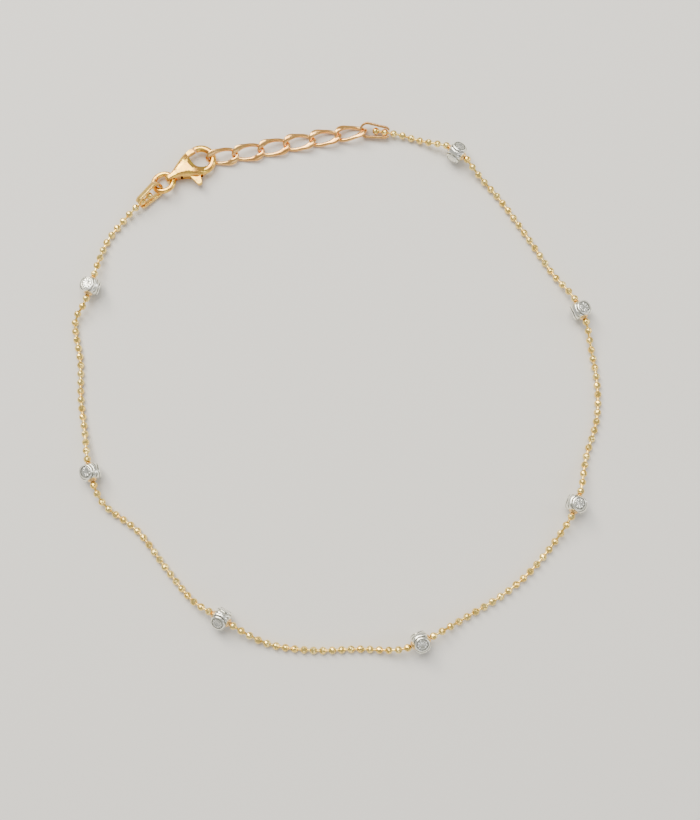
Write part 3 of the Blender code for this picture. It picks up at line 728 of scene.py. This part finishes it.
# %% [markdown]
# ## The jump ring and the folded tags
#
# The ring is plain round wire. A tag is a strip folded round its wire with the chain's last two balls
# inside: the strip's arms lie close to the balls, and its lips turn in behind them so that they can't
# slip out. The strip's edges are rounded a little, as tumbling leaves them, and catch a thin light line.

# %% Ring and tags
RING_RADIUS = 1.57  # to the middle of the wire
RING_WIRE = 0.83
RING_POINTS = 72
RING_SIDES = 24
STRIP_WIDTH = 0.93
STRIP_THICKNESS = 0.35
BEND_RADIUS = 0.875  # inside the fold
ARM_HALF = 0.625  # from the tag's middle line to an arm's inner face
LIP_HALF = 0.3
LIP_START = 2.825
TAG_END = 3.425
EDGE_ROUNDING = 0.055

circle = [Vector((x, y, 0)) for x, y in arc((0, 0), RING_RADIUS, 0, 360, RING_POINTS)[:-1]]
ring_normals = [Vector((0, 0, 1))] * RING_POINTS
ring_sections = [(RING_WIRE, RING_WIRE)] * RING_POINTS
ring = laid(swept_loop("ring", circle, ring_normals, ring_sections, RING_SIDES), lie_of("jump_ring"), 60)
hand_over("round_jump_ring", ring, [CAST_GOLD], ["jump_ring"])


def folded_tag():
    """A strip bent to a hairpin about the origin, with its open end and lips towards X."""
    def side(offset):
        upper = [(TAG_END, LIP_HALF + offset), (LIP_START + 0.1, ARM_HALF + offset * 0.94)]
        upper += [(LIP_START - 0.15, ARM_HALF + offset), (LIP_START - 0.8, ARM_HALF + 0.05 + offset)]
        upper += arc((0, 0), BEND_RADIUS + offset, 90, 180, 14)
        return upper + [(x, -y) for x, y in upper[-2::-1]]

    outline = side(STRIP_THICKNESS) + side(0)[::-1]
    return plate("tag", outline, -STRIP_WIDTH / 2, STRIP_WIDTH / 2, EDGE_ROUNDING)


TAG = folded_tag()
for node, mouth_ball, finish, slot in (("end_tag_extension", right_balls[0], ROSE_STRIP, "rose_gold"),
                                       ("end_tag_clasp", left_balls[0], STRIP_GOLD, "yellow_gold")):
    lie = lie_of(node)
    if (mouth_ball - lie.translation).dot(lie.col[0].to_3d()) < 0:
        lie = lie @ turn(180, "Z")
    along = lie.col[0].to_3d()
    ends = [v.co.dot(along) for v in frame["nodes"][node].data.vertices]
    bend_middle = max(ends) - TAG_END * MM
    lie.translation += along * (bend_middle - lie.translation.dot(along))
    hand_over(f"folded_{node}", laid(TAG.copy(), lie, 40), [finish], [node])

# %% [markdown]
# ## The lobster clasp
#
# The body is one casting: a swelling teardrop that thins to a neck and an upright eye, with a round wire
# hook that springs from its lower side and curls over to the top. Its lower flank is squarer than the
# upper one, so a clear line runs along it. It is drawn as a loft through eleven sections and smoothed
# between them. The throat is bored through and its inner edge is eased with a flare.
#
# Two more cuts make room for the lever. The gate's end of the body is cut away, and a slot is sawn through
# from side to side at half the body's height. The slot is only as wide as the lever needs to swing in, so
# that at rest the lever's web fills most of it and hardly any daylight shows through.

# %% Clasp body
CLASP_HEADING = 33.2  # degrees from the X axis
PIVOT = (-2.9, 0.9)  # from the hook's middle, with X towards the hook's nose
PIN_HOLE_RADIUS = 0.345
HOOK_RADIUS = 1.9
HOOK_WIRE = 1.06
HOOK_START = -128  # degrees, where the wire leaves the body below
HOOK_SCALE = 2.43  # half the hook's outer diameter, which the sections' sides are shares of
THROAT_RADIUS = 1.37
TAIL = 6.26
THICKNESS = 2.5
FLAT_BELOW = 1.15
SEAM_ANGLE = 93.5
SEAM_SLANT = 9.5
GATE_ANGLE = 41  # degrees, where the body ends behind the gate
GATE_EDGE = 0.15
# Distance back from the hook's middle as a share of the tail, reach to the left and to the right as
# shares of the hook's radius, and height as a share of the thickness
SECTIONS = (
    (-0.03, 0.02, 0.93, 0.26), (0.05, 0.99, 0.97, 0.44), (0.16, 0.97, 0.97, 0.74),
    (0.29, 0.89, 0.90, 0.93), (0.40, 0.78, 0.72, 1.00), (0.50, 0.65, 0.55, 1.00),
    (0.62, 0.50, 0.38, 0.95), (0.72, 0.35, 0.28, 0.86), (0.82, 0.24, 0.23, 0.82),
    (0.95, 0.22, 0.22, 0.76), (1.00, 0.16, 0.16, 0.50))
LEFT_FULLNESS = 2.5
RIGHT_FULLNESS = 3.8
FLARE_START = 0.75
FLARE_SLOPE = 1.45
FLARE_REACH = 2.0
SLOT_HALF = 0.5
# The slot seen from above
SLOT = (
    (-3.6, 9), (-3.6, 1.0), (-4.5, 0.35), (-4.5, -0.5), (-4.2, -0.75), (-4.0, -0.95), (-3.93, -9),
    (-1.05, -9), (-1.05, 9))
EYE_HALF_LENGTH = 0.61
EYE_HALF_HEIGHT = 0.71
EYE_FROM_TAIL = 0.93
PAST = 5  # a cut that goes right through the clasp starts and ends this far out

pivot_place = Vector(frame["joints"][0]["pos_m"])
to_hook = Matrix.Translation(pivot_place) @ turn(CLASP_HEADING, "Z")
CLASP_LIE = to_hook @ Matrix.Translation(Vector((-PIVOT[0], -PIVOT[1], 0)) * MM)


def between(a, b, c, d, share):
    """A smooth value between b and c that takes a and d into account."""
    return b + 0.5 * share * (c - a + share * (2 * a - 5 * b + 4 * c - d + share * (3 * (b - c) + d - a)))


def smoothed(rows, steps):
    """The rows with more rows drawn smoothly between them."""
    padded = [rows[0], *rows, rows[-1]]
    result = []
    for i in range(len(rows) - 1):
        for step in range(steps):
            result.append([between(*values, step / steps) for values in zip(*padded[i:i + 4])])
    return result + [list(rows[-1])]


def clasp_shell(share=1.0):
    """The body's swelling form along -X; a share under 1 makes it thinner by so much."""
    rows = []
    for back, left, right, height in smoothed(SECTIONS, 5):
        row = []
        for i in range(64):
            angle = math.tau * i / 64
            c, s = math.cos(angle), math.sin(angle)
            fullness = LEFT_FULLNESS if c > 0 else RIGHT_FULLNESS
            y = math.copysign(abs(c) ** (2 / fullness), c) * HOOK_SCALE * (left if c > 0 else right)
            z = math.copysign(abs(s) ** (2 / fullness), s) * height * THICKNESS / 2 * share
            row.append((-back * TAIL, y, max(z, -FLAT_BELOW)))
        rows.append(row)
    return grid_mesh("shell", rows)


def hook():
    """The hook's round wire about Z, cut off on a slant where the gate meets it."""
    rows, steps, sides = [], 64, 28
    for i in range(steps + 1):
        row = []
        for k in range(sides):
            outwards = math.cos(math.tau * k / sides)
            tip = SEAM_ANGLE - SEAM_SLANT * (1 - outwards) / 2
            angle = math.radians(HOOK_START + (tip - HOOK_START) * i / steps)
            radius = HOOK_RADIUS + outwards * HOOK_WIRE / 2
            height = math.sin(math.tau * k / sides) * HOOK_WIRE / 2
            row.append((radius * math.cos(angle), radius * math.sin(angle), height))
        rows.append(row)
    return grid_mesh("hook", rows)


def block(low, high):
    corners = [(low[0], low[1]), (high[0], low[1]), (high[0], high[1]), (low[0], high[1])]
    return plate("block", corners, low[2], high[2])


def clasp_body():
    """The casting in the hook's own frame, with every cut made."""
    gate_back = -HOOK_RADIUS * math.cos(math.radians(GATE_ANGLE))
    gate_room = block((gate_back, GATE_EDGE, -PAST), (3, PAST, PAST))
    shell = combined(clasp_shell(), gate_room, "DIFFERENCE")
    body = combined(shell, hook(), "UNION")
    wide = THROAT_RADIUS + (FLARE_REACH - FLARE_START) * FLARE_SLOPE
    flare = [(wide, -FLARE_REACH), (THROAT_RADIUS, -FLARE_START)]
    flare += [(THROAT_RADIUS, FLARE_START), (wide, FLARE_REACH)]
    body = combined(body, turned("throat", flare, 96), "DIFFERENCE")
    body = combined(body, plate("slot", SLOT, -SLOT_HALF, SLOT_HALF), "DIFFERENCE")
    hole = turned("hole", [(PIN_HOLE_RADIUS, -PAST), (PIN_HOLE_RADIUS, PAST)], 32)
    hole.transform(Matrix.Translation((*PIVOT, 0)))
    body = combined(body, hole, "DIFFERENCE")
    rim = [(x * EYE_HALF_LENGTH, y * EYE_HALF_HEIGHT) for x, y in arc((0, 0), 1, 0, 360, 32)[:-1]]
    eye = plate("eye", rim, -PAST, PAST)
    eye.transform(Matrix.Translation((EYE_FROM_TAIL - TAIL, 0, 0)) @ turn(90, "X"))
    return combined(body, eye, "DIFFERENCE")


hand_over("cast_clasp_body", laid(clasp_body(), CLASP_LIE, 32), [CAST_GOLD], ["clasp_body"])

# %% [markdown]
# ## The clasp's lever and its pin
#
# The lever is stamped from sheet. One end closes the hook as the gate, the heel turns on the pin, and the
# other end comes out below as the nub for a thumbnail. Between heel and nub a web fills most of the body's
# slot. The lever is the only piece that moves, so it rides its own body. It is as thick as the saw slot
# allows, and its stamped edges are rounded. The pin is filed off just under the body's face, so it is cut
# from a wire by a slightly thinner copy of that body.

# %% Lever and pin
LEVER_HALF_THICK = 0.43
LEVER_ROUNDING = 0.08
LEVER_HOLE_RADIUS = 0.4
HEEL_RADIUS = 0.62
NUB_TIP = (-2.1, -3.42)
NUB_RADIUS = 0.46
PIN_RADIUS = 0.33
PIN_BOTTOM = -1.06
PIN_TOP = 1.25
PIN_SHORTER = 0.98  # the pin's length as a share of the body's thickness


def lever():
    """The blade in the hook's own frame: gate, heel, web, nub, and back along the throat's side."""
    outline = [(-0.26, 2.3), (-0.8, 2.29), (-1.35, 2.17), (-1.9, 1.98), (-2.5, 1.74)]
    outline += arc(PIVOT, HEEL_RADIUS, 115, 205, 10)
    outline += [(-3.76, -0.2), (-3.8, -0.88), (-3.2, -1.24), (-2.88, -1.44)]
    outline += [(-2.8, -1.75), (-2.7, -2.2)]
    outline += arc((NUB_TIP[0], NUB_TIP[1] + NUB_RADIUS), NUB_RADIUS, 190, 350, 14)
    outline += [(-1.36, -2.3), (-1.2, -1.85)]
    outline += [(-1.95, -0.8), (PIVOT[0] + HEEL_RADIUS, PIVOT[1] - 0.38)]
    outline += [(-1.5, 1.05), (-1.38, 1.36), (-1.2, 1.47), (-0.7, 1.51), (-0.01, 1.51)]
    blade = plate("lever", outline, -LEVER_HALF_THICK, LEVER_HALF_THICK, LEVER_ROUNDING)
    hole = turned("hole", [(LEVER_HOLE_RADIUS, -PAST), (LEVER_HOLE_RADIUS, PAST)], 32)
    hole.transform(Matrix.Translation((*PIVOT, 0)))
    return combined(blade, hole, "DIFFERENCE")


stamped = laid(lever(), CLASP_LIE, 40)
hand_over("stamped_lever", stamped, [CAST_GOLD], ["clasp_lever"], "clasp_lever")
pin = turned("pin", [(PIN_RADIUS, PIN_BOTTOM), (PIN_RADIUS, PIN_TOP)], 32)
pin.transform(Matrix.Translation((*PIVOT, 0)))
pin = combined(pin, clasp_shell(PIN_SHORTER), "INTERSECT")
hand_over("polished_pin", laid(pin, CLASP_LIE), [PIN_GOLD], ["clasp_pin"])
